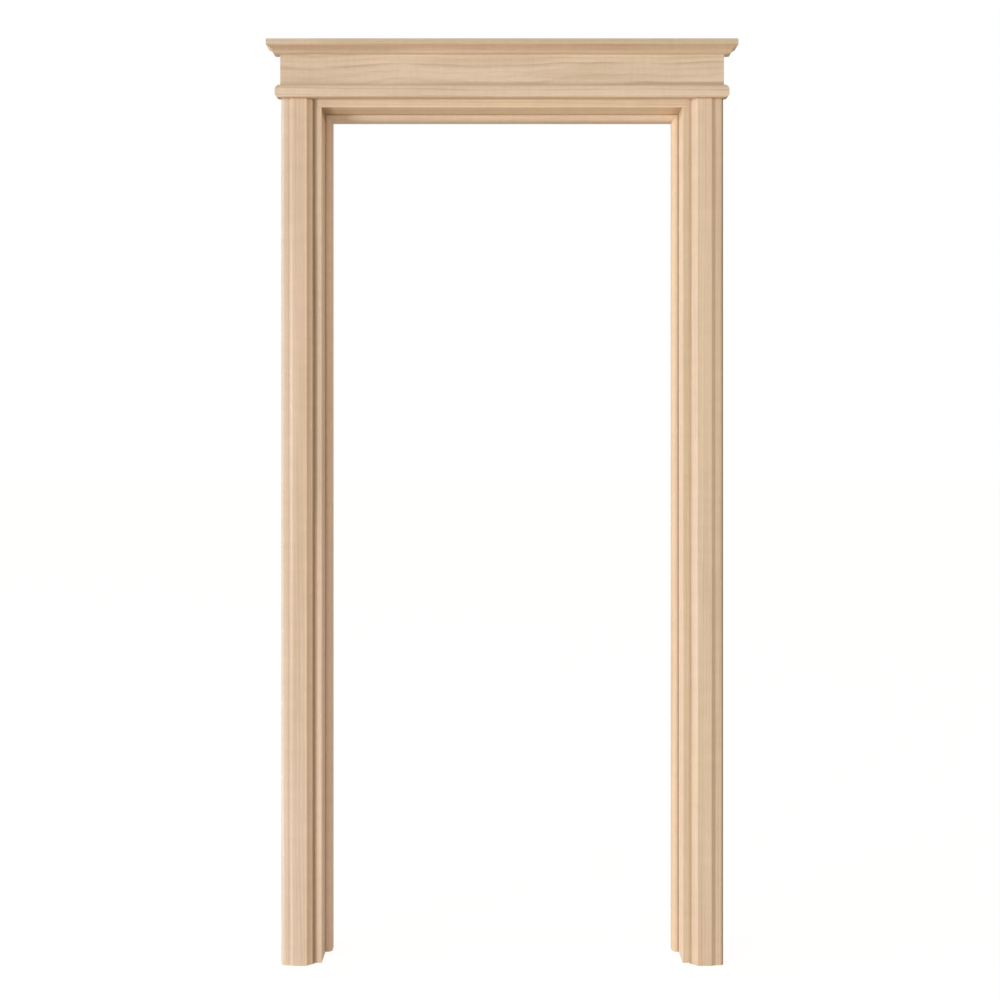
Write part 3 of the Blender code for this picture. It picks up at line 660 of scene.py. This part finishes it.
DOWEL_LOOK = look(
    "Z", (0.02, 0.01), spacing=0.0016, figure=0.8,
    tint=BEECH_DEEP, pale=BEECH_PALE, deep=BEECH_DEEP,
)


def give(thing, finish):
    thing.data.materials.clear()
    thing.data.materials.append(finish)


def finish_wood():
    dowels = sorted(name for name in NODES if name.startswith("crosshead_dowel"))
    looks = {**BOARDS, **dict.fromkeys(dowels, DOWEL_LOOK)}
    for seed, (name, board_look) in enumerate(looks.items(), 1):
        give(NODES[name], wood_material(name, seed, board_look))


# Fasteners


def steel_material(name, colour, roughness):
    """Drawn and plated steel: fine scratches, cloudy plating and a slightly uneven skin."""
    made, tree, shader = new_material(name)
    place = tree.nodes.new("ShaderNodeTexCoord").outputs["Object"]
    plating = noise(tree, place, PLATING_WAVES, detail=3.0).outputs["Fac"]
    scratch = noise(tree, place, SCRATCH_WAVES).outputs["Fac"]
    cloudy = spread_out(tree, plating, *PLATING_RANGE)
    tone = blend_colours(tree, cloudy, colour, shade(colour, PLATING_SHADE))
    marks = spread_out(tree, scratch, *SCRATCH_RANGE)
    join(tree, blend_colours(tree, marks, tone, shade(colour, SCRATCH_SHADE)), shader, "Base Color")
    rough = maths(tree, "MULTIPLY_ADD", plating, PLATING_ROUGHNESS, roughness - PLATING_ROUGHNESS / 2)
    join(tree, maths(tree, "MULTIPLY_ADD", scratch, SCRATCH_ROUGHNESS, rough), shader, "Roughness")
    add_bump(tree, shader, scratch, STEEL_BUMP)
    shader.inputs["Metallic"].default_value = 1.0
    made.diffuse_color = (*colour, 1.0)
    return made


def circle(radius, height):
    angles = (math.tau * step / SCREW_SIDES for step in range(SCREW_SIDES))
    return [(radius * math.cos(angle), radius * math.sin(angle), height) for angle in angles]


def skin(rings):
    """Closed bmesh through rings of points that all have one length, capped at both ends."""
    shape = bmesh.new()
    rows = [[shape.verts.new(point) for point in ring] for ring in rings]
    for upper, lower in zip(rows, rows[1:]):
        for index in range(len(upper)):
            after = (index + 1) % len(upper)
            shape.faces.new((upper[index], upper[after], lower[after], lower[index]))
    shape.faces.new(rows[0])
    shape.faces.new(rows[-1])
    bmesh.ops.recalc_face_normals(shape, faces=shape.faces)
    return shape


def thread_ring(height, length):
    """Points round the shank at one height, with the thread's ridge passing round them."""
    points = []
    taper = max(min(1.0, (height + length) / SCREW_TIP), SCREW_POINT_SHARE)
    for step in range(SCREW_SIDES):
        share = step / SCREW_SIDES
        wave = abs(((height / THREAD_PITCH - share) % 1.0) * 2 - 1)
        ridge = max(0.0, 1 - wave * THREAD_STEEPNESS)
        radius = (SCREW_CORE + (SCREW_RADIUS - SCREW_CORE) * ridge) * taper
        points.append((radius * math.cos(math.tau * share), radius * math.sin(math.tau * share), height))
    return points


def cross_outline(reach, width, height):
    """Points round a cross, four arms with a corner between each two."""
    points = []
    for turn in range(RECESS_ARMS):
        angle = math.tau * turn / RECESS_ARMS
        along = Vector((math.cos(angle), math.sin(angle)))
        side = Vector((-along.y, along.x))
        end = along * reach
        for point in (end - side * width, end + side * width, along * width + side * width):
            points.append((point.x, point.y, height))
    return points


def cross_recess():
    """Tapered cross that is cut into a screw's head."""
    return skin([
        cross_outline(RECESS_REACH, RECESS_WIDTH, RECESS_DEPTH * RECESS_MARGIN_SHARE),
        cross_outline(RECESS_REACH, RECESS_WIDTH, 0.0),
        cross_outline(RECESS_FLOOR_REACH, RECESS_WIDTH * RECESS_FLOOR_SHARE, -RECESS_DEPTH),
    ])


def to_object(shape, name):
    mesh = bpy.data.meshes.new(name)
    shape.to_mesh(mesh)
    shape.free()
    thing = bpy.data.objects.new(name, mesh)
    bpy.context.scene.collection.objects.link(thing)
    return thing


def screw_mesh(length):
    """Countersunk wood screw with its head at the origin, pointing down."""
    neck = -SCREW_HEAD_HEIGHT
    rings = [
        circle(SCREW_HEAD_RADIUS * SCREW_FACE_SHARE, 0.0),
        circle(SCREW_HEAD_RADIUS, -SCREW_EASED_DEPTH),
        circle(SCREW_HEAD_RADIUS, -SCREW_RIM_DEPTH),
        circle(SCREW_RADIUS * SCREW_NECK_SHARE, neck),
        circle(SCREW_RADIUS * SCREW_SHANK_SHARE, neck - SCREW_SHANK_START),
    ]
    height = neck - THREAD_START
    step = THREAD_PITCH / THREAD_STEPS
    while height > -length + step:
        rings.append(thread_ring(height, length))
        height -= step
    rings.append(circle(SCREW_POINT_RADIUS, -length))
    body = to_object(skin(rings), "screw_body")
    cutter = to_object(cross_recess(), "screw_recess")
    boolean = body.modifiers.new("recess", "BOOLEAN")
    boolean.operation = "DIFFERENCE"
    boolean.solver = "EXACT"
    boolean.object = cutter
    bpy.context.view_layer.update()
    graph = bpy.context.evaluated_depsgraph_get()
    mesh = bpy.data.meshes.new_from_object(body.evaluated_get(graph))
    for thing in (body, cutter):
        bpy.data.objects.remove(thing)
    mesh.shade_smooth()
    mesh.set_sharp_from_angle(angle=math.radians(SCREW_SHARP_ANGLE))
    return mesh


# Direction in which each family of screws points, from its head to its tip
SCREW_DIRECTIONS = {
    "head_screw_left": Vector((1, 0, 0)),
    "head_screw_right": Vector((-1, 0, 0)),
    "crown_screw": Vector((0, -1, 0)),
    "bead_screw": Vector((0, -1, 0)),
}


def fit_screws(finish):
    """A threaded screw in the place of each plain one. Screws of one length share a mesh."""
    meshes = {}
    for name in sorted(NODES):
        family = name.rsplit("_", 1)[0]
        if family not in SCREW_DIRECTIONS:
            continue
        direction = SCREW_DIRECTIONS[family]
        low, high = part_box(name)
        centre = (low + high) / 2
        length = abs((high - low).dot(direction))
        key = round(length, 5)
        if key not in meshes:
            meshes[key] = screw_mesh(length)
            meshes[key].materials.append(finish)
        screw = bpy.data.objects.new(name + "_threaded", meshes[key])
        bpy.context.scene.collection.objects.link(screw)
        screw.location = centre - direction * length / 2
        screw.rotation_mode = "QUATERNION"
        screw.rotation_quaternion = Vector((0, 0, -1)).rotation_difference(direction)
        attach(screw, "root")
        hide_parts(name)


def finish_fasteners():
    zinc = steel_material("zinc_steel", ZINC, ZINC_ROUGHNESS)
    bright = steel_material("bright_steel", BRIGHT, BRIGHT_ROUGHNESS)
    fit_screws(zinc)
    for name, thing in NODES.items():
        if "nail" in name or "brad" in name:
            give(thing, bright)
        elif "screw" in name:
            give(thing, zinc)


# Surroundings


def seen_directly(tree):
    """1 for what the camera sees, itself or through gloss and glass, and 0 for light on surfaces."""
    path = tree.nodes.new("ShaderNodeLightPath").outputs
    seen = maths(tree, "MAXIMUM", path["Is Camera Ray"], path["Is Glossy Ray"])
    return maths(tree, "MAXIMUM", seen, path["Is Transmission Ray"])


def choose_shader(tree, unseen, seen, output):
    """One shader for light on the object and another for what the camera sees."""
    choice = tree.nodes.new("ShaderNodeMixShader")
    for entry, source in enumerate((seen_directly(tree), unseen, seen)):
        join(tree, source, choice, entry)
    join(tree, choice, tree.nodes[output], "Surface")


def set_world():
    world = bpy.data.worlds.new("studio")
    bpy.context.scene.world = world
    world.use_nodes = True
    tree = world.node_tree
    surround = tree.nodes["Background"]
    surround.inputs["Color"].default_value = (*SURROUND_COLOUR, 1.0)
    surround.inputs["Strength"].default_value = SURROUND
    backdrop = add(tree, "Background", Color=(*WHITE, 1.0), Strength=1.0)
    choose_shader(tree, surround, backdrop, "World Output")


def glowing_paint(tree, share, colour, strength):
    """Matt grey paint, of this share of white, that also gives off some light."""
    paint = add(tree, "BsdfDiffuse", Color=(*shade(WHITE, share), 1.0))
    glow = add(tree, "Emission", Color=(*colour, 1.0), Strength=strength)
    both = tree.nodes.new("ShaderNodeAddShader")
    join(tree, paint, both, 0)
    return join(tree, glow, both, 1)


def add_floor():
    """White floor: matt paint that also gives off some light onto the object, lifted to white where it
    is seen.
    """
    shape = bmesh.new()
    bmesh.ops.create_circle(shape, cap_ends=True, segments=FLOOR_SIDES, radius=FLOOR_RADIUS)
    floor = to_object(shape, "floor")
    floor.location = (0.0, 0.0, -FLOOR_DROP)
    made, tree, shader = new_material("floor_white")
    tree.nodes.remove(shader)
    unseen = glowing_paint(tree, FLOOR_BOUNCE, SURROUND_COLOUR, FLOOR_LIFT)
    seen = glowing_paint(tree, FLOOR_SHADE, WHITE, FLOOR_GLOW)
    choose_shader(tree, unseen, seen, "Material Output")
    floor.data.materials.append(made)


def add_lamp(name, watts, size, degrees, height):
    """Level rectangle of light in front, this far round to the left."""
    azimuth = math.radians(degrees)
    lamp = bpy.data.lights.new(name, "AREA")
    lamp.energy = watts
    lamp.color = LAMP_COLOUR
    lamp.shape = "RECTANGLE"
    lamp.size, lamp.size_y = size
    holder = bpy.data.objects.new(name, lamp)
    bpy.context.scene.collection.objects.link(holder)
    holder.location = (-LAMP_DISTANCE * math.sin(azimuth), -LAMP_DISTANCE * math.cos(azimuth), height)
    holder.rotation_euler = (math.radians(90), 0.0, -azimuth)
    holder.visible_camera = False


def add_camera():
    lens = bpy.data.cameras.new("camera")
    lens.sensor_width = SENSOR_MM
    lens.lens = SENSOR_MM * CAMERA_DISTANCE / (METRES_PER_PIXEL * IMAGE_SIDE)
    lens.shift_x = CAMERA_SHIFT_X
    lens.shift_y = CAMERA_SHIFT_Y
    camera = bpy.data.objects.new("camera", lens)
    bpy.context.scene.collection.objects.link(camera)
    camera.location = (0.0, WALL_Y - CAMERA_DISTANCE, CAMERA_HEIGHT)
    camera.rotation_euler = (math.radians(90), 0.0, 0.0)
    bpy.context.scene.camera = camera


add_camera()
finish_wood()
finish_fasteners()
set_world()
add_floor()
for lamp_name, lamp_values in LAMPS.items():
    add_lamp(lamp_name, *lamp_values)
bpy.context.scene.view_settings.view_transform = "Standard"
